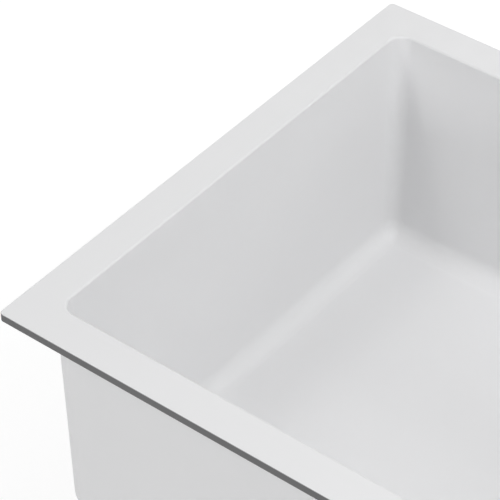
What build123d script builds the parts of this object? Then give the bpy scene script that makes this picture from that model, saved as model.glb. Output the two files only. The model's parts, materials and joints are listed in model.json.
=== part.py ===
from build123d import *
import math
import os

# Undermount kitchen sink: one cast bowl with a flat rim, the swing tabs that fix it
# under a worktop, and a basket strainer waste with its tailpiece.
# Millimetres. The origin is the centre of the rim's top face, which meets the underside
# of the worktop. +X runs along the long side, +Y to the back and +Z up.

# Rim and bowl. The ends are the left and right, the sides are the front and back.
RIM_LENGTH = 838.0
RIM_DEPTH = 457.0
END_RIM_WIDTH = 28.7
SIDE_RIM_WIDTH = 30.0
RIM_THICK = 6.5
RIM_CORNER_R = 3.5
RIM_EDGE_R = 0.8
RIM_ROOT_FILLET = 3.0
MOUTH_CORNER_R = 12.0
MOUTH_EDGE_R = 1.8
BOWL_DEPTH = 196.0
WALL_DRAFT = 1.05
WALL_THICK = 8.0
FLOOR_FILLET = 15.0
FLOOR_FALL = 5.0
FALL_EDGE_LIFT = 0.05
FLOOR_THICK = 9.0
DRAIN_BOSS_MARGIN = 4.0
EDGE_SEARCH = 0.1

# Blocks, inserts, screws and washers under the rim
SIDE_CLIP_FROM_END = 269.0
END_CLIP_FROM_SIDE = 118.5
BLOCK_EDGE_GAP = 1.35
BLOCK_HEIGHT = 12.0
INSERT_R = 4.5
INSERT_LENGTH = 10.0
INSERT_GLUE_GAP = 0.05
SCREW_R = 2.9
SCREW_LENGTH = 16.0
SCREW_RUNNING_GAP = 0.1
SCREW_END_GAP = 0.6
SCREW_HEAD_R = 5.5
SCREW_HEAD_HEIGHT = 4.0
SCREW_HEAD_EDGE = 0.6
HEX_SOCKET_FLATS = 5.0
HEX_SOCKET_DEPTH = 2.4
WASHER_R = 6.25
WASHER_THICK = 1.6

# Swing tabs, stowed along the rim
TAB_THICK = 2.0
TAB_SIDE_GAP = 2.35
TAB_REACH = 35.0
TAB_BEND_R = 1.5
TAB_TOE_R = 3.0
TAB_HOLE_GAP = 0.4
TAB_PLAY = 0.2
TAB_RISER_GAP = 4.0
TAB_STOW_GAP = 1.0
SLOT_WIDTH = 6.5
SLOT_LENGTH = 12.0
SLOT_END_MARGIN = 3.0

# Strainer body, its seals and its locknut
STRAINER_FLANGE_R = 57.0
STRAINER_SHEET = 1.2
STRAINER_FLUSH_DROP = 0.2
STRAINER_MOUTH_R = 4.0
STRAINER_HEEL_R = 6.0
STRAINER_THROAT_R = 2.5
RECESS_GAP = 1.0
CUP_R = 43.0
CUP_DEPTH = 50.0
CUP_CONE_FALL = 3.0
CUP_THREAD_START = 10.0
CUP_THREAD_LENGTH = 32.0
THREAD_HEIGHT = 0.6
THREAD_PITCH = 2.5
THREAD_CREST = 0.5
THREAD_RUNNING_GAP = 0.1
DRAIN_HOLE_GAP = 2.0
NECK_R = 23.0
NECK_LENGTH = 14.0
NECK_THREAD_LENGTH = 10.0
FLANGE_SEAL_R = 56.0
FLANGE_SEAL_THICK = 1.0
FLANGE_SEAL_GAP = 1.0
GASKET_R = 56.0
GASKET_THICK = 3.0
GASKET_GAP = 0.5
FRICTION_WASHER_R = 55.0
FRICTION_WASHER_THICK = 0.8
LOCKNUT_R = 50.0
LOCKNUT_THICK = 12.0
LOCKNUT_LUGS = 8
LOCKNUT_LUG_REACH = 4.0
LOCKNUT_LUG_WIDTH = 9.0

# Spider across the strainer's neck
SPIDER_HUB_R = 5.5
SPIDER_HUB_HEIGHT = 5.0
SPIDER_ARMS = 4
SPIDER_ARM_WIDTH = 2.4
SPIDER_ARM_HEIGHT = 3.0
SPIDER_FIT_GAP = 0.05
SPIDER_NUT_GAP = 1.0

# Lift-out basket
BASKET_SHEET = 1.0
BASKET_SIDE_GAP = 0.5
BASKET_SET_DOWN = 5.0
BASKET_LIP = 2.7
BASKET_WALL_LEAN = 5.0
BASKET_BEND_R = 2.0
BASKET_HOLE_R = 1.6
BASKET_FLOOR_RINGS = ((12.0, 10), (19.0, 16), (26.0, 22))
BASKET_WALL_ROWS = 4
BASKET_WALL_HOLES = 26
BASKET_WALL_ROW_PITCH = 7.0
BASKET_WALL_ROW_START = 8.0
STOPPER_R = 28.0
STOPPER_EDGE = 2.5
STOPPER_SEAT_GAP = 0.3
STOPPER_STANDOFF = 5.0
STOPPER_THROAT_GAP = 0.5
POST_R = 3.0
POST_COLLAR_R = 5.0
POST_GUIDE_GAP = 0.35
POST_FIT_GAP = 0.05
POST_TIP = 1.6
POST_TIP_CHAMFER = 0.8
POST_IN_KNOB = 24.0
KNOB_STEM_R = 5.0
KNOB_R = 11.0
KNOB_HEIGHT = 40.0
KNOB_HEAD_HEIGHT = 9.0
KNOB_FLARE_HEIGHT = 5.0
KNOB_EDGE_R = 3.0
BASKET_NUT_FLATS = 10.0
BASKET_NUT_HEIGHT = 4.0

# Tailpiece and its coupling nut
TAIL_R = 19.05
TAIL_WALL = 1.2
TAIL_LENGTH = 102.0
TAIL_FLANGE_R = 22.5
TAIL_FLANGE_THICK = 1.5
TAIL_SHOULDER_LENGTH = 4.5
TAIL_SHOULDER_RISE = 0.6
TAIL_WASHER_THICK = 2.0
TAIL_GAP = 0.3
COUPLING_R = 27.0
COUPLING_LIP = 2.5
COUPLING_OVERLAP = 9.0
COUPLING_LUGS = 8
COUPLING_LUG_REACH = 2.0
COUPLING_LUG_WIDTH = 6.0

# Sizes and levels that follow from the values above
mouth_length = RIM_LENGTH - 2 * END_RIM_WIDTH
mouth_depth = RIM_DEPTH - 2 * SIDE_RIM_WIDTH
narrow_rim = min(END_RIM_WIDTH, SIDE_RIM_WIDTH)
wide_rim = max(END_RIM_WIDTH, SIDE_RIM_WIDTH)
# All tabs and blocks are alike, so they are made to fit the narrower rim.
overhang = narrow_rim - WALL_THICK
pivot_inset = overhang / 2
block_r = pivot_inset - BLOCK_EDGE_GAP
block_foot_z = -RIM_THICK - BLOCK_HEIGHT
tab_width = overhang - 2 * TAB_SIDE_GAP
tab_travel = RIM_THICK + TAB_STOW_GAP
tab_leg_top_z = block_foot_z - tab_travel
tab_rise = RIM_THICK + BLOCK_HEIGHT
washer_top_z = tab_leg_top_z - TAB_THICK - TAB_PLAY
screw_bearing_z = washer_top_z - WASHER_THICK
screw_tip_z = screw_bearing_z + SCREW_LENGTH
floor_low_z = -BOWL_DEPTH - FLOOR_FALL
strainer_top_z = floor_low_z - STRAINER_FLUSH_DROP
recess_z = strainer_top_z - STRAINER_SHEET - FLANGE_SEAL_THICK
drain_boss_z = recess_z - FLOOR_THICK
recess_r = STRAINER_FLANGE_R + RECESS_GAP
drain_hole_r = CUP_R + DRAIN_HOLE_GAP
cup_root_r = CUP_R - THREAD_HEIGHT
cup_inner_r = cup_root_r - STRAINER_SHEET
neck_root_r = NECK_R - THREAD_HEIGHT
neck_inner_r = neck_root_r - STRAINER_SHEET
cup_heel_z = strainer_top_z - CUP_DEPTH
cup_throat_z = cup_heel_z - CUP_CONE_FALL
neck_foot_z = cup_throat_z - NECK_LENGTH
gasket_foot_z = drain_boss_z - GASKET_THICK
friction_foot_z = gasket_foot_z - FRICTION_WASHER_THICK
stopper_top_z = (
    cup_throat_z
    + CUP_CONE_FALL * (STOPPER_R - neck_inner_r) / (cup_inner_r - neck_inner_r)
    + STOPPER_SEAT_GAP
    + STOPPER_EDGE
)
basket_floor_z = stopper_top_z + STOPPER_STANDOFF + BASKET_SHEET
basket_rim_z = strainer_top_z - BASKET_SET_DOWN
stopper_foot_z = cup_throat_z + STOPPER_SEAT_GAP
basket_nut_foot_z = stopper_foot_z - BASKET_NUT_HEIGHT
spider_top_z = basket_nut_foot_z - SPIDER_NUT_GAP
post_foot_z = spider_top_z - SPIDER_HUB_HEIGHT - POST_TIP
tail_flange_z = neck_foot_z - TAIL_WASHER_THICK
coupling_lip_z = tail_flange_z - TAIL_FLANGE_THICK
tail_shoulder_r = TAIL_R + TAIL_SHOULDER_RISE
tail_shoulder_foot_z = coupling_lip_z - TAIL_SHOULDER_LENGTH
tail_foot_z = tail_flange_z - TAIL_LENGTH

# Clip places: name, pivot x, pivot y, and the turn of the side about Z
pivot_x = RIM_LENGTH / 2 - pivot_inset
pivot_y = RIM_DEPTH / 2 - pivot_inset
side_clip_x = RIM_LENGTH / 2 - SIDE_CLIP_FROM_END
end_clip_y = RIM_DEPTH / 2 - END_CLIP_FROM_SIDE
CLIP_PLACES = (
    ("clip_front_left", -side_clip_x, -pivot_y, 0),
    ("clip_front_right", side_clip_x, -pivot_y, 0),
    ("clip_right_front", pivot_x, -end_clip_y, 90),
    ("clip_right_back", pivot_x, end_clip_y, 90),
    ("clip_back_right", side_clip_x, pivot_y, 180),
    ("clip_back_left", -side_clip_x, pivot_y, 180),
    ("clip_left_back", -pivot_x, end_clip_y, 270),
    ("clip_left_front", -pivot_x, -end_clip_y, 270),
)


def turned(points):
    """Solid of revolution about Z from a closed outline of (radius, height) points."""
    outline = Plane.XZ * make_face(Polyline(*points, close=True))
    return revolve(outline, Axis.Z)


def pressed(points, radii, sheet):
    """Sheet metal turned about Z: the seen face follows the points, the sheet is behind it."""
    path = FilletPolyline(*points, radius=radii)
    outline = make_face(offset(path, amount=sheet, side=Side.LEFT))
    return revolve(Plane.XZ * outline, Axis.Z)


def disc(radius, top_z, thick, hole_r):
    """Flat ring that hangs down from its top level."""
    ring = Circle(radius) - Circle(hole_r)
    return extrude(Pos(0, 0, top_z) * ring, -thick)


def thread_rings(root_r, crest_r, top_z, length):
    """Rounded-off external thread, as a row of closed ridges on a thin sleeve."""
    count = int(length / THREAD_PITCH)
    inner_r = root_r - THREAD_HEIGHT
    points = [(inner_r, top_z), (root_r, top_z)]
    for ridge in range(count):
        start_z = top_z - ridge * THREAD_PITCH
        points.append((crest_r, start_z - (THREAD_PITCH - THREAD_CREST) / 2))
        points.append((crest_r, start_z - (THREAD_PITCH + THREAD_CREST) / 2))
        points.append((root_r, start_z - THREAD_PITCH))
    points.append((inner_r, top_z - count * THREAD_PITCH))
    return turned(points)


def lugged_ring(radius, lugs, lug_reach, lug_width, top_z, height, bore_r):
    """Hand-tightened nut: a ring with square lugs around it and a round bore."""
    reach = radius + lug_reach
    lug = Pos(reach / 2, 0) * Rectangle(reach, lug_width)
    outline = Circle(radius) + [Rot(0, 0, 360 / lugs * step) * lug for step in range(lugs)]
    outline -= Circle(bore_r)
    return extrude(Pos(0, 0, top_z) * outline, -height)


def fallen_middle(length, depth, floor_z):
    """Smooth hollow in a flat floor: level at its edges and deepest at its middle."""
    steps = (-0.5, -0.25, 0, 0.25, 0.5)
    edge_z = floor_z + FALL_EDGE_LIFT
    # The middle point of a sheet of five by five points pulls its centre down by (6/16) squared.
    middle_z = edge_z - (FLOOR_FALL + FALL_EDGE_LIFT) * (16 / 6) ** 2
    rows = []
    for x in steps:
        rows.append([Vector(x * length, y * depth, edge_z if x or y else middle_z) for y in steps])
    return Solid.extrude(Face.make_bezier_surface(rows), Vector(0, 0, 2 * FLOOR_FALL))


def bowl_form(grow, floor_z, corner_r, floor_fillet):
    """Drafted box with rounded corners and a fallen floor, larger all round than the mouth."""
    length = mouth_length + 2 * grow
    depth = mouth_depth + 2 * grow
    lean = -floor_z * math.tan(math.radians(WALL_DRAFT))
    foot_length = length - 2 * lean
    foot_depth = depth - 2 * lean
    mouth = Rectangle(length, depth)
    foot = Pos(0, 0, floor_z) * Rectangle(foot_length, foot_depth)
    form = loft([mouth.face(), foot.face()], ruled=True)
    form = fillet(form.edges().group_by(Axis.Z)[0], floor_fillet)
    corner_edges = [edge for edge in form.edges() if edge.bounding_box().size.Z > floor_fillet / 2]
    form = fillet(corner_edges, corner_r)
    flat_length = foot_length - 2 * floor_fillet
    flat_depth = foot_depth - 2 * floor_fillet
    return form + fallen_middle(flat_length, flat_depth, floor_z)


def level_edges(body, level_z, inset):
    """Edges at one level that stay further in than this from the rim's outer edge."""
    found = []
    for edge in body.edges():
        box = edge.bounding_box()
        level = max(abs(box.min.Z - level_z), abs(box.max.Z - level_z)) < EDGE_SEARCH
        inside_length = max(abs(box.min.X), abs(box.max.X)) < RIM_LENGTH / 2 - inset
        inside_depth = max(abs(box.min.Y), abs(box.max.Y)) < RIM_DEPTH / 2 - inset
        if level and inside_length and inside_depth:
            found.append(edge)
    return found


def at_clips(piece):
    """One copy of a piece at each clip's place."""
    return [Pos(x, y, 0) * Rot(0, 0, turn) * piece for _, x, y, turn in CLIP_PLACES]


def make_clip_blocks(bowl):
    """Blocks bonded under the rim and against the wall, cut to the bowl they are bonded to."""
    reach = wide_rim - pivot_inset - WALL_THICK / 2
    outline = Circle(block_r) + Pos(0, reach / 2) * Rectangle(2 * block_r, reach)
    block = extrude(Pos(0, 0, -RIM_THICK) * outline, -BLOCK_HEIGHT)
    foot = Pos(0, 0, block_foot_z)
    tip_room = screw_tip_z + tab_travel + SCREW_END_GAP - block_foot_z
    block -= extrude(foot * Circle(INSERT_R + INSERT_GLUE_GAP), INSERT_LENGTH)
    block -= extrude(foot * Circle(SCREW_R + SCREW_RUNNING_GAP), tip_room)
    return Compound([placed - bowl for placed in at_clips(block)])


def make_bowl():
    """The casting: rim, walls and floor in one piece, with its drain hole."""
    rim_outline = RectangleRounded(RIM_LENGTH, RIM_DEPTH, RIM_CORNER_R)
    rim = extrude(rim_outline, -RIM_THICK)
    rim = fillet(rim.edges().group_by(Axis.Z)[-1], RIM_EDGE_R)
    shell = bowl_form(
        WALL_THICK,
        -BOWL_DEPTH - FLOOR_THICK,
        MOUTH_CORNER_R + WALL_THICK,
        FLOOR_FILLET + FLOOR_THICK,
    )
    body = rim + shell
    body = fillet(level_edges(body, -RIM_THICK, pivot_inset), RIM_ROOT_FILLET)
    body -= bowl_form(0, -BOWL_DEPTH, MOUTH_CORNER_R, FLOOR_FILLET)
    body = fillet(level_edges(body, 0, narrow_rim - EDGE_SEARCH), MOUTH_EDGE_R)
    body += extrude(Pos(0, 0, drain_boss_z) * Circle(recess_r + DRAIN_BOSS_MARGIN), FLOOR_THICK)
    body -= extrude(Pos(0, 0, recess_z) * Circle(recess_r), -recess_z)
    return body - extrude(Pos(0, 0, drain_boss_z) * Circle(drain_hole_r), -drain_boss_z)


def make_insert():
    """Brass bush in a block."""
    ring = Circle(INSERT_R) - Circle(SCREW_R + SCREW_RUNNING_GAP)
    return extrude(Pos(0, 0, block_foot_z) * ring, INSERT_LENGTH)


def make_screw():
    """Socket screw that carries a tab, head down."""
    shank = extrude(Pos(0, 0, screw_bearing_z) * Circle(SCREW_R), SCREW_LENGTH)
    head = extrude(Pos(0, 0, screw_bearing_z) * Circle(SCREW_HEAD_R), -SCREW_HEAD_HEIGHT)
    head = chamfer(head.edges().group_by(Axis.Z)[0], SCREW_HEAD_EDGE)
    socket_outline = RegularPolygon(HEX_SOCKET_FLATS / 2, 6, major_radius=False)
    head_foot_z = screw_bearing_z - SCREW_HEAD_HEIGHT
    socket = extrude(Pos(0, 0, head_foot_z) * socket_outline, HEX_SOCKET_DEPTH)
    return shank + head - socket


def make_washer():
    """Flat washer between a screw's head and its tab."""
    return disc(WASHER_R, washer_top_z, WASHER_THICK, SCREW_R + SCREW_RUNNING_GAP)


def make_tab():
    """Z-shaped steel tab: it turns on its screw, and its slotted foot lies stowed along +X."""
    heel = -tab_width / 2
    riser = block_r + TAB_RISER_GAP
    foot_z = tab_leg_top_z + tab_rise
    path = FilletPolyline(
        (heel, tab_leg_top_z),
        (riser, tab_leg_top_z),
        (riser, foot_z),
        (TAB_REACH, foot_z),
        radius=[TAB_BEND_R, TAB_BEND_R + TAB_THICK],
    )
    side = Plane.XZ * make_face(offset(path, amount=TAB_THICK, side=Side.RIGHT))
    strip = extrude(side, tab_width / 2, both=True)
    outline = Circle(tab_width / 2) + Pos(TAB_REACH / 2, 0) * Rectangle(TAB_REACH, tab_width)
    outline = fillet(outline.vertices().group_by(Axis.X)[-1], TAB_TOE_R)
    outline -= Circle(SCREW_R + TAB_HOLE_GAP)
    slot_x = TAB_REACH - SLOT_END_MARGIN - SLOT_LENGTH / 2
    outline -= Pos(slot_x, 0) * SlotOverall(SLOT_LENGTH, SLOT_WIDTH)
    cutter_z = tab_leg_top_z - 2 * TAB_THICK
    return strip & extrude(Pos(0, 0, cutter_z) * outline, tab_rise + 4 * TAB_THICK)


def make_strainer_body():
    """Flanged cup of the waste, with a threaded wall and a threaded neck."""
    path = [
        (STRAINER_FLANGE_R, strainer_top_z),
        (cup_inner_r, strainer_top_z),
        (cup_inner_r, cup_heel_z),
        (neck_inner_r, cup_throat_z),
        (neck_inner_r, neck_foot_z),
    ]
    body = pressed(path, [STRAINER_MOUTH_R, STRAINER_HEEL_R, STRAINER_THROAT_R], STRAINER_SHEET)
    body += thread_rings(cup_root_r, CUP_R, strainer_top_z - CUP_THREAD_START, CUP_THREAD_LENGTH)
    neck_thread_z = neck_foot_z + NECK_THREAD_LENGTH
    return body + thread_rings(neck_root_r, NECK_R, neck_thread_z, NECK_THREAD_LENGTH)


def make_spider():
    """Cross in the strainer's neck, whose hub guides the basket's post."""
    reach = neck_inner_r - SPIDER_FIT_GAP
    arm = Pos(reach / 2, 0) * Rectangle(reach, SPIDER_ARM_WIDTH)
    arms = Sketch() + [Rot(0, 0, 360 / SPIDER_ARMS * step) * arm for step in range(SPIDER_ARMS)]
    arms &= Circle(reach)
    spider = extrude(Pos(0, 0, spider_top_z) * arms, -SPIDER_ARM_HEIGHT)
    spider += extrude(Pos(0, 0, spider_top_z) * Circle(SPIDER_HUB_R), -SPIDER_HUB_HEIGHT)
    guide_r = POST_R + POST_GUIDE_GAP
    return spider - extrude(Pos(0, 0, spider_top_z) * Circle(guide_r), -SPIDER_HUB_HEIGHT)


def make_locknut():
    """Large nut that clamps the strainer to the bowl's floor."""
    return lugged_ring(
        LOCKNUT_R,
        LOCKNUT_LUGS,
        LOCKNUT_LUG_REACH,
        LOCKNUT_LUG_WIDTH,
        friction_foot_z,
        LOCKNUT_THICK,
        CUP_R + THREAD_RUNNING_GAP,
    )


def make_tailpiece():
    """Flanged outlet tube, with a shoulder that centres the coupling nut."""
    inner_r = TAIL_R - TAIL_WALL
    return turned([
        (inner_r, tail_flange_z),
        (TAIL_FLANGE_R, tail_flange_z),
        (TAIL_FLANGE_R, coupling_lip_z),
        (tail_shoulder_r, coupling_lip_z),
        (tail_shoulder_r, tail_shoulder_foot_z + TAIL_SHOULDER_RISE),
        (TAIL_R, tail_shoulder_foot_z),
        (TAIL_R, tail_foot_z),
        (inner_r, tail_foot_z),
    ])


def make_coupling_nut():
    """Nut on the neck's thread, whose lip holds the tailpiece's flange."""
    top_z = neck_foot_z + COUPLING_OVERLAP
    height = top_z - coupling_lip_z + COUPLING_LIP
    body = lugged_ring(
        COUPLING_R,
        COUPLING_LUGS,
        COUPLING_LUG_REACH,
        COUPLING_LUG_WIDTH,
        top_z,
        height,
        tail_shoulder_r + TAIL_GAP,
    )
    bore_r = NECK_R + THREAD_RUNNING_GAP
    return body - extrude(Pos(0, 0, coupling_lip_z) * Circle(bore_r), top_z - coupling_lip_z)


def make_basket_cup():
    """Perforated basket that hangs in the strainer's cup."""
    rim_r = cup_inner_r - BASKET_SIDE_GAP
    top_r = rim_r - BASKET_LIP
    foot_r = top_r - BASKET_WALL_LEAN
    path = [
        (rim_r, basket_rim_z),
        (top_r, basket_rim_z),
        (foot_r, basket_floor_z),
        (POST_R + POST_FIT_GAP, basket_floor_z),
    ]
    body = pressed(path, [BASKET_BEND_R, BASKET_BEND_R], BASKET_SHEET)
    drills = []
    for ring_r, count in BASKET_FLOOR_RINGS:
        drill = Pos(ring_r, 0, basket_floor_z) * Cylinder(BASKET_HOLE_R, 4 * BASKET_SHEET)
        drills += [Rot(0, 0, 360 / count * step) * drill for step in range(count)]
    wall_drill = Rot(0, 90, 0) * Cylinder(BASKET_HOLE_R, 4 * BASKET_WALL_LEAN)
    for row in range(BASKET_WALL_ROWS):
        height = BASKET_WALL_ROW_START + row * BASKET_WALL_ROW_PITCH
        drill = Pos((top_r + foot_r) / 2, 0, basket_floor_z + height) * wall_drill
        half_step = 0.5 * (row % 2)
        turns = [360 / BASKET_WALL_HOLES * (step + half_step) for step in range(BASKET_WALL_HOLES)]
        drills += [Rot(0, 0, turn) * drill for turn in turns]
    return body - drills


def make_basket_post():
    """Steel post through the basket: a collar between basket and stopper, a tip in the spider."""
    collar_top_z = basket_floor_z - BASKET_SHEET
    top_z = basket_floor_z + POST_IN_KNOB
    return turned([
        (0, post_foot_z),
        (POST_R - POST_TIP_CHAMFER, post_foot_z),
        (POST_R, post_foot_z + POST_TIP_CHAMFER),
        (POST_R, stopper_top_z),
        (POST_COLLAR_R, stopper_top_z),
        (POST_COLLAR_R, collar_top_z),
        (POST_R, collar_top_z),
        (POST_R, top_z),
        (0, top_z),
    ])


def make_basket_knob():
    """Mushroom knob whose stem clamps the basket to its post."""
    top_z = basket_floor_z + KNOB_HEIGHT
    head_z = top_z - KNOB_HEAD_HEIGHT
    knob = turned([
        (0, basket_floor_z),
        (KNOB_STEM_R, basket_floor_z),
        (KNOB_STEM_R, head_z - KNOB_FLARE_HEIGHT),
        (KNOB_R, head_z),
        (KNOB_R, top_z),
        (0, top_z),
    ])
    knob = fillet(knob.edges().group_by(Axis.Z)[-1], KNOB_EDGE_R)
    bore_depth = POST_IN_KNOB + POST_FIT_GAP
    return knob - extrude(Pos(0, 0, basket_floor_z) * Circle(POST_R + POST_FIT_GAP), bore_depth)


def make_basket_seal():
    """Rubber stopper whose cone lies just over the strainer's throat."""
    inner_r = POST_R + POST_FIT_GAP
    throat_r = neck_inner_r + STOPPER_THROAT_GAP
    slope = CUP_CONE_FALL / (cup_inner_r - neck_inner_r)
    return turned([
        (inner_r, stopper_top_z),
        (STOPPER_R, stopper_top_z),
        (STOPPER_R, stopper_top_z - STOPPER_EDGE),
        (throat_r, stopper_foot_z + slope * STOPPER_THROAT_GAP),
        (neck_inner_r - 2 * STOPPER_THROAT_GAP, stopper_foot_z),
        (inner_r, stopper_foot_z),
    ])


def make_basket_nut():
    """Nut under the stopper, on the post."""
    outline = RegularPolygon(BASKET_NUT_FLATS / 2, 6, major_radius=False)
    outline -= Circle(POST_R + POST_FIT_GAP)
    return extrude(Pos(0, 0, stopper_foot_z) * outline, -BASKET_NUT_HEIGHT)


def make_parts():
    """Every sub-part by name, each in its place."""
    bowl = make_bowl()
    parts = {
        "bowl": bowl,
        "clip_blocks": make_clip_blocks(bowl),
        "clip_inserts": Compound(at_clips(make_insert())),
        "clip_screws": Compound(at_clips(make_screw())),
        "clip_washers": Compound(at_clips(make_washer())),
        "strainer_body": make_strainer_body(),
        "strainer_spider": make_spider(),
        "strainer_flange_seal": disc(
            FLANGE_SEAL_R,
            recess_z + FLANGE_SEAL_THICK,
            FLANGE_SEAL_THICK,
            drain_hole_r + FLANGE_SEAL_GAP,
        ),
        "strainer_floor_gasket": disc(GASKET_R, drain_boss_z, GASKET_THICK, CUP_R + GASKET_GAP),
        "strainer_friction_washer": disc(
            FRICTION_WASHER_R,
            gasket_foot_z,
            FRICTION_WASHER_THICK,
            CUP_R + GASKET_GAP,
        ),
        "strainer_locknut": make_locknut(),
        "tailpiece": make_tailpiece(),
        "tailpiece_washer": disc(TAIL_FLANGE_R, neck_foot_z, TAIL_WASHER_THICK, TAIL_R),
        "coupling_nut": make_coupling_nut(),
        "basket_cup": make_basket_cup(),
        "basket_post": make_basket_post(),
        "basket_knob": make_basket_knob(),
        "basket_seal": make_basket_seal(),
        "basket_nut": make_basket_nut(),
    }
    clip_names = [place[0] for place in CLIP_PLACES]
    parts.update(zip(clip_names, at_clips(make_tab())))
    return parts


os.makedirs("parts", exist_ok=True)
for name, part in make_parts().items():
    export_step(part, f"parts/{name}.step")
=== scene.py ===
import json
import math
import bpy
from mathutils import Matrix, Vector


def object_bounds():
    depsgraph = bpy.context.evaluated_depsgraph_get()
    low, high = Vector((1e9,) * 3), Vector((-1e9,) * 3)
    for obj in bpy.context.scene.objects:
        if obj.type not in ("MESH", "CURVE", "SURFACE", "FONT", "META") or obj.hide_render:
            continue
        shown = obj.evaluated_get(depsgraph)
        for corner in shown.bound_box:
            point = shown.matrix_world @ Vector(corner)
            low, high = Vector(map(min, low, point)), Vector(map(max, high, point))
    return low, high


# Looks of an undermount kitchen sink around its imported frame. Metres, +Z up, with the
# origin at the centre of the rim's top face.

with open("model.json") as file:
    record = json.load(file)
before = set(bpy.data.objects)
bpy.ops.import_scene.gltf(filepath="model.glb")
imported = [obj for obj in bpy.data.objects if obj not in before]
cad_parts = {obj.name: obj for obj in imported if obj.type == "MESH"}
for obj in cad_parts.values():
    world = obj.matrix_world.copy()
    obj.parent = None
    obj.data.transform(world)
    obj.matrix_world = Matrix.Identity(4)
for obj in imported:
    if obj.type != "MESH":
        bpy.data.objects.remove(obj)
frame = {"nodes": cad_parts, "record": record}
cad_low, cad_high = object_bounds()
nodes = frame["nodes"]

# Camera: the photograph's place, heading, pitch and focal length, with the picture's
# own width in pixels
CAMERA_PLACE = (0.458154, -1.074302, 1.113713)
CAMERA_HEADING = math.radians(38.020)
CAMERA_PITCH = math.radians(41.235)
FOCAL_PIXELS = 2428.4
PICTURE_PIXELS = 500
SENSOR_WIDTH = 36.0
FAR_CLIP = 60.0

# The rim's outer edge is coloured dark grey: white turns to grey between these depths under its top face
RIM_CORNER_R = 0.0035
EDGE_BAND_TOP = 0.0001
EDGE_BAND_FOOT = 0.0007
EDGE_BAND_INSET = 0.0008
EDGE_BAND_BLEND = 0.0003

# Composite: its white drifts between two near whites, and the dark band on the rim's outer edge between two
# greys
WHITES = ((0.802, 0.803, 0.810, 1), (0.830, 0.831, 0.837, 1))
EDGE_BAND_GREYS = ((0.093, 0.093, 0.095, 1), (0.146, 0.146, 0.148, 1))
DRIFT_SCALE = 9.0
GRAIN_SCALE = 2600.0
GRAIN_DEPTH = 0.00002
SHEEN_SCALE = 60.0
SHEEN_LOW = 0.50
SHEEN_HIGH = 0.58

# Noise lies mostly within this span, and that of fine rings within the wider one
NOISE_SPAN = (0.3, 0.7)
RING_SPAN = (0.2, 0.8)

# Brushed steel: fine rings, with a smudge over them
RING_SCALE = 2200.0
RING_TURN = 0.004
RING_DEPTH = 0.000012
RING_ROUGH = (-0.05, 0.07)
SMUDGE_SCALE = 35.0
SMUDGE_ROUGH = (-0.04, 0.05)

# Plated metal and moulded plastic or rubber: cloud size, and what it adds to the roughness
PLATED_CLOUD_SCALE = 120.0
PLATED_ROUGH = (-0.04, 0.06)
MOULDED_CLOUD_SCALE = 80.0
MOULDED_ROUGH = (-0.05, 0.05)

# Pressed fibre: two browns, and fibres longer across than along
FIBRE_BROWNS = ((0.28, 0.21, 0.13, 1), (0.50, 0.40, 0.28, 1))
FIBRE_SCALE = 1500.0
FIBRE_STRETCH = 0.3
FIBRE_DEPTH = 0.00006
FIBRE_ROUGH = 0.9

# Floor: its own white near the middle and, where the lamps no longer reach, further out
FLOOR_SIZE = 12.0
FLOOR_DROP = 0.0005
FLOOR_NEAR_WHITE = 0.76
FLOOR_FAR_WHITE = 1.0
FLOOR_NEAR_R = 0.8
FLOOR_FAR_R = 3.2
FLOOR_TONE = 0.9
FLOOR_LIT_WHITE = 0.36

# Soft boxes round the middle of the rim: name, azimuth from +X, elevation, size and power
LAMP_DISTANCE = 2.5
WORLD_LEVEL = 0.25
LAMPS = (
    ("right_low", 30, 15, 0.8, 3.9),
    ("back_low", 120, 35, 0.8, 9.7),
    ("front_left", 240, 35, 0.8, 8.2),
    ("front_left_small", 235, 46, 0.34, 4.0),
    ("key", 0, 55, 0.8, 20.6),
    ("front_right", 330, 55, 0.8, 5.0),
    ("left_high", 180, 55, 0.8, 1.2),
    ("top", 0, 75, 0.8, 7.2),
    ("front_low", 270, 7, 0.35, 8.0),
    ("right_grazing", 350, 7, 0.35, 3.8),
)


class Nodes:
    """Short calls for building one node tree."""

    def __init__(self, tree):
        self.tree = tree

    def add(self, kind, inputs=None, **settings):
        node = self.tree.nodes.new(kind)
        for key, value in settings.items():
            setattr(node, key, value)
        for key, value in (inputs or {}).items():
            if hasattr(value, "links"):
                self.tree.links.new(value, node.inputs[key])
            else:
                node.inputs[key].default_value = value
        return node

    def math(self, operation, *values):
        inputs = dict(enumerate(values))
        return self.add("ShaderNodeMath", inputs, operation=operation).outputs[0]

    def length(self, vector):
        node = self.add("ShaderNodeVectorMath", {0: vector}, operation="LENGTH")
        return node.outputs["Value"]

    def mix(self, factor, first, second):
        inputs = {0: factor, 6: first, 7: second}
        node = self.add("ShaderNodeMix", inputs, data_type="RGBA")
        return node.outputs[2]

    def noise(self, vector, scale, detail=2.0, roughness=0.5):
        inputs = {"Vector": vector, "Scale": scale, "Detail": detail, "Roughness": roughness}
        return self.add("ShaderNodeTexNoise", inputs).outputs["Fac"]

    def ramp(self, value, low, high, to_low=0.0, to_high=1.0):
        inputs = {"Value": value, "From Min": low, "From Max": high, "To Min": to_low, "To Max": to_high}
        return self.add("ShaderNodeMapRange", inputs).outputs[0]

    def split(self, vector):
        return self.add("ShaderNodeSeparateXYZ", {0: vector}).outputs

    def join(self, x, y, z):
        return self.add("ShaderNodeCombineXYZ", {0: x, 1: y, 2: z}).outputs[0]

    def bump(self, height, distance):
        inputs = {"Height": height, "Distance": distance, "Strength": 1.0}
        return self.add("ShaderNodeBump", inputs).outputs[0]


def new_material(name):
    """Empty material with a shader and the place in the object's own space."""
    material = bpy.data.materials.new(name)
    material.use_nodes = True
    tree = material.node_tree
    tree.nodes.clear()
    make = Nodes(tree)
    shader = make.add("ShaderNodeBsdfPrincipled")
    output = make.add("ShaderNodeOutputMaterial")
    tree.links.new(shader.outputs[0], output.inputs[0])
    place = make.add("ShaderNodeTexCoord").outputs["Object"]
    return material, make, shader, place


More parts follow.
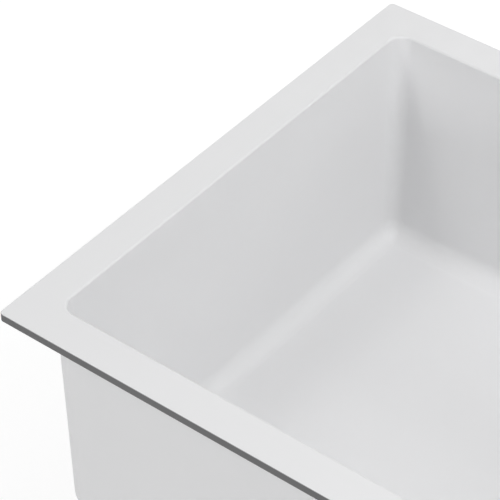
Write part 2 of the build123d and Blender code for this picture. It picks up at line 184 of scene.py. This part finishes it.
def link(make, source, shader, name):
    make.tree.links.new(source, shader.inputs[name])


def shades(tone, dark, light=1.0):
    """A darker and a lighter colour of one tone."""
    return tuple(dark * part for part in tone) + (1,), tuple(min(1.0, light * part) for part in tone) + (1,)


def composite():
    """Fine matte white composite, with a dark grey band round the rim's outer edge."""
    material, make, shader, place = new_material("composite")
    x, y, z = make.split(place)
    # Mask of the dark grey band round the rim's outer edge, just under its top face
    out_x = make.math("SUBTRACT", make.math("ABSOLUTE", x), cad_high.x - RIM_CORNER_R)
    out_y = make.math("SUBTRACT", make.math("ABSOLUTE", y), cad_high.y - RIM_CORNER_R)
    reach = make.length(make.join(make.math("MAXIMUM", out_x, 0.0), make.math("MAXIMUM", out_y, 0.0), 0.0))
    inset_r = RIM_CORNER_R - EDGE_BAND_INSET
    outside = make.ramp(reach, inset_r, inset_r + EDGE_BAND_BLEND)
    below = make.ramp(z, -EDGE_BAND_TOP, -EDGE_BAND_FOOT)
    edge_band = make.math("MULTIPLY", outside, below)
    grain = make.noise(place, GRAIN_SCALE, 2.0, 0.6)
    white = make.mix(make.noise(place, DRIFT_SCALE, 3.0), *WHITES)
    edge_band_grey = make.mix(grain, *EDGE_BAND_GREYS)
    link(make, make.mix(edge_band, white, edge_band_grey), shader, "Base Color")
    sheen = make.ramp(make.noise(place, SHEEN_SCALE, 3.0), *NOISE_SPAN, SHEEN_LOW, SHEEN_HIGH)
    link(make, sheen, shader, "Roughness")
    link(make, make.bump(grain, GRAIN_DEPTH), shader, "Normal")
    return material


def turned_place(make, place):
    """Coordinates round the upright axis: stretched rings for brushed and turned metal."""
    x, y, z = make.split(place)
    radius = make.length(make.join(x, y, 0.0))
    angle = make.math("ARCTAN2", y, x)
    return make.join(radius, make.math("MULTIPLY", angle, RING_TURN), z)


def brushed_steel(name, tone, roughness):
    """Steel brushed in rings about the upright axis."""
    material, make, shader, place = new_material(name)
    rings = make.noise(turned_place(make, place), RING_SCALE, 4.0, 0.65)
    smudge = make.noise(place, SMUDGE_SCALE, 3.0)
    link(make, make.mix(rings, *shades(tone, 0.86)), shader, "Base Color")
    shader.inputs["Metallic"].default_value = 1.0
    less, more = SMUDGE_ROUGH
    ring_part = make.ramp(rings, *RING_SPAN, *RING_ROUGH)
    smudge_part = make.ramp(smudge, *NOISE_SPAN, roughness + less, roughness + more)
    link(make, make.math("ADD", ring_part, smudge_part), shader, "Roughness")
    link(make, make.bump(rings, RING_DEPTH), shader, "Normal")
    return material


def plated(name, tone, roughness, grain_scale=900.0, grain_depth=0.00001):
    """Smooth plated or polished metal with faint clouding."""
    material, make, shader, place = new_material(name)
    cloud = make.noise(place, PLATED_CLOUD_SCALE, 4.0, 0.6)
    link(make, make.mix(cloud, *shades(tone, 0.88)), shader, "Base Color")
    shader.inputs["Metallic"].default_value = 1.0
    less, more = PLATED_ROUGH
    link(make, make.ramp(cloud, *NOISE_SPAN, roughness + less, roughness + more), shader, "Roughness")
    link(make, make.bump(make.noise(place, grain_scale, 3.0), grain_depth), shader, "Normal")
    return material


def moulded(name, tone, roughness, grain_scale=700.0, grain_depth=0.00003):
    """Moulded plastic or rubber with a fine surface and slight colour variation."""
    material, make, shader, place = new_material(name)
    cloud = make.noise(place, MOULDED_CLOUD_SCALE, 3.0)
    link(make, make.mix(cloud, *shades(tone, 0.85, 1.08)), shader, "Base Color")
    less, more = MOULDED_ROUGH
    link(make, make.ramp(cloud, *NOISE_SPAN, roughness + less, roughness + more), shader, "Roughness")
    link(make, make.bump(make.noise(place, grain_scale, 4.0), grain_depth), shader, "Normal")
    return material


def fibre():
    """Pressed fibre washer: short fibres in the plane of the ring."""
    material, make, shader, place = new_material("fibre")
    x, y, z = make.split(place)
    stretched = make.join(x, make.math("MULTIPLY", y, FIBRE_STRETCH), z)
    fibres = make.noise(stretched, FIBRE_SCALE, 5.0, 0.7)
    link(make, make.mix(fibres, *FIBRE_BROWNS), shader, "Base Color")
    shader.inputs["Roughness"].default_value = FIBRE_ROUGH
    link(make, make.bump(fibres, FIBRE_DEPTH), shader, "Normal")
    return material


def make_materials():
    """One finish for each material slot of the record."""
    return {
        "composite": composite(),
        "stainless": brushed_steel("stainless", (0.60, 0.60, 0.59), 0.26),
        "chrome": plated("chrome", (0.74, 0.75, 0.77), 0.10),
        "zinc_steel": plated("zinc_steel", (0.52, 0.54, 0.57), 0.34, 1400.0, 0.00002),
        "brass": plated("brass", (0.72, 0.52, 0.22), 0.30),
        "nut_plastic": moulded("nut_plastic", (0.66, 0.66, 0.64), 0.48),
        "washer_plastic": moulded("washer_plastic", (0.58, 0.58, 0.56), 0.50),
        "foam_seal": moulded("foam_seal", (0.10, 0.10, 0.10), 0.85, 1200.0, 0.00012),
        "gasket_rubber": moulded("gasket_rubber", (0.025, 0.025, 0.027), 0.62),
        "stopper_rubber": moulded("stopper_rubber", (0.03, 0.03, 0.032), 0.55),
        "fibre": fibre(),
    }


def dress_nodes(materials):
    """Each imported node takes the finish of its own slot."""
    slot_of = {part["node"]: part["material_slot"] for part in frame["record"]["subparts"]}
    for name, node in nodes.items():
        node.data.materials.clear()
        node.data.materials.append(materials[slot_of[name]])


def camera_seen(make):
    """One for rays from the camera, straight or by way of metal or glass."""
    path = make.add("ShaderNodeLightPath").outputs
    seen = make.math("MAXIMUM", path["Is Camera Ray"], path["Is Glossy Ray"])
    return make.math("MAXIMUM", seen, path["Is Transmission Ray"])


def floor_material():
    """Pale matte floor that also shows white of its own to the camera."""
    material, make, shader, place = new_material("floor")
    seen = camera_seen(make)
    tone = (FLOOR_TONE, FLOOR_TONE, FLOOR_TONE, 1)
    seen_tone = (FLOOR_LIT_WHITE, FLOOR_LIT_WHITE, FLOOR_LIT_WHITE, 1)
    link(make, make.mix(seen, tone, seen_tone), shader, "Base Color")
    shader.inputs["Roughness"].default_value = 1.0
    shader.inputs["Specular IOR Level"].default_value = 0.0
    shader.inputs["Emission Color"].default_value = (1, 1, 1, 1)
    own = make.ramp(make.length(place), FLOOR_NEAR_R, FLOOR_FAR_R, FLOOR_NEAR_WHITE, FLOOR_FAR_WHITE)
    link(make, make.math("MULTIPLY", seen, own), shader, "Emission Strength")
    clear = make.add("ShaderNodeBsdfTransparent")
    behind = make.add("ShaderNodeNewGeometry").outputs["Backfacing"]
    mixed = make.add("ShaderNodeMixShader", {0: behind, 1: shader.outputs[0], 2: clear.outputs[0]})
    output = make.tree.nodes["Material Output"]
    make.tree.links.new(mixed.outputs[0], output.inputs[0])
    return material


def make_floor():
    """Pale floor under the lowest point, white where no shadow falls and clear from below."""
    z = cad_low.z - FLOOR_DROP
    half = FLOOR_SIZE / 2
    corners = [(-half, -half, z), (half, -half, z), (half, half, z), (-half, half, z)]
    mesh = bpy.data.meshes.new("floor")
    mesh.from_pydata(corners, [], [(0, 1, 2, 3)])
    floor = bpy.data.objects.new("floor", mesh)
    bpy.context.scene.collection.objects.link(floor)
    mesh.materials.append(floor_material())


def make_world():
    """White to the camera and in reflections, and a plain even level for the rest."""
    world = bpy.data.worlds.new("studio")
    world.use_nodes = True
    bpy.context.scene.world = world
    tree = world.node_tree
    tree.nodes.clear()
    make = Nodes(tree)
    seen = camera_seen(make)
    white = make.add("ShaderNodeBackground", {"Color": (1, 1, 1, 1), "Strength": 1.0})
    light = make.add("ShaderNodeBackground", {"Color": (1, 1, 1, 1), "Strength": WORLD_LEVEL})
    mixed = make.add("ShaderNodeMixShader", {0: seen, 1: light.outputs[0], 2: white.outputs[0]})
    output = make.add("ShaderNodeOutputWorld")
    tree.links.new(mixed.outputs[0], output.inputs[0])


def make_lamps():
    """Square soft boxes that look at the middle of the rim."""
    for name, azimuth, elevation, size, power in LAMPS:
        data = bpy.data.lights.new(name, "AREA")
        data.size = size
        data.energy = power
        lamp = bpy.data.objects.new(name, data)
        bpy.context.scene.collection.objects.link(lamp)
        around = math.radians(azimuth)
        up = math.radians(elevation)
        level = math.cos(up)
        outward = Vector((math.cos(around) * level, math.sin(around) * level, math.sin(up)))
        lamp.location = LAMP_DISTANCE * outward
        lamp.rotation_euler = (-outward).to_track_quat("-Z", "Y").to_euler()


def make_camera():
    """Camera at the photograph's place."""
    data = bpy.data.cameras.new("camera")
    data.sensor_width = SENSOR_WIDTH
    data.lens = FOCAL_PIXELS / PICTURE_PIXELS * SENSOR_WIDTH
    data.clip_end = FAR_CLIP
    camera = bpy.data.objects.new("camera", data)
    bpy.context.scene.collection.objects.link(camera)
    camera.location = CAMERA_PLACE
    camera.rotation_euler = (math.pi / 2 - CAMERA_PITCH, 0, CAMERA_HEADING)
    bpy.context.scene.camera = camera


make_camera()
dress_nodes(make_materials())
make_floor()
make_world()
make_lamps()
bpy.context.scene.view_settings.view_transform = "Standard"
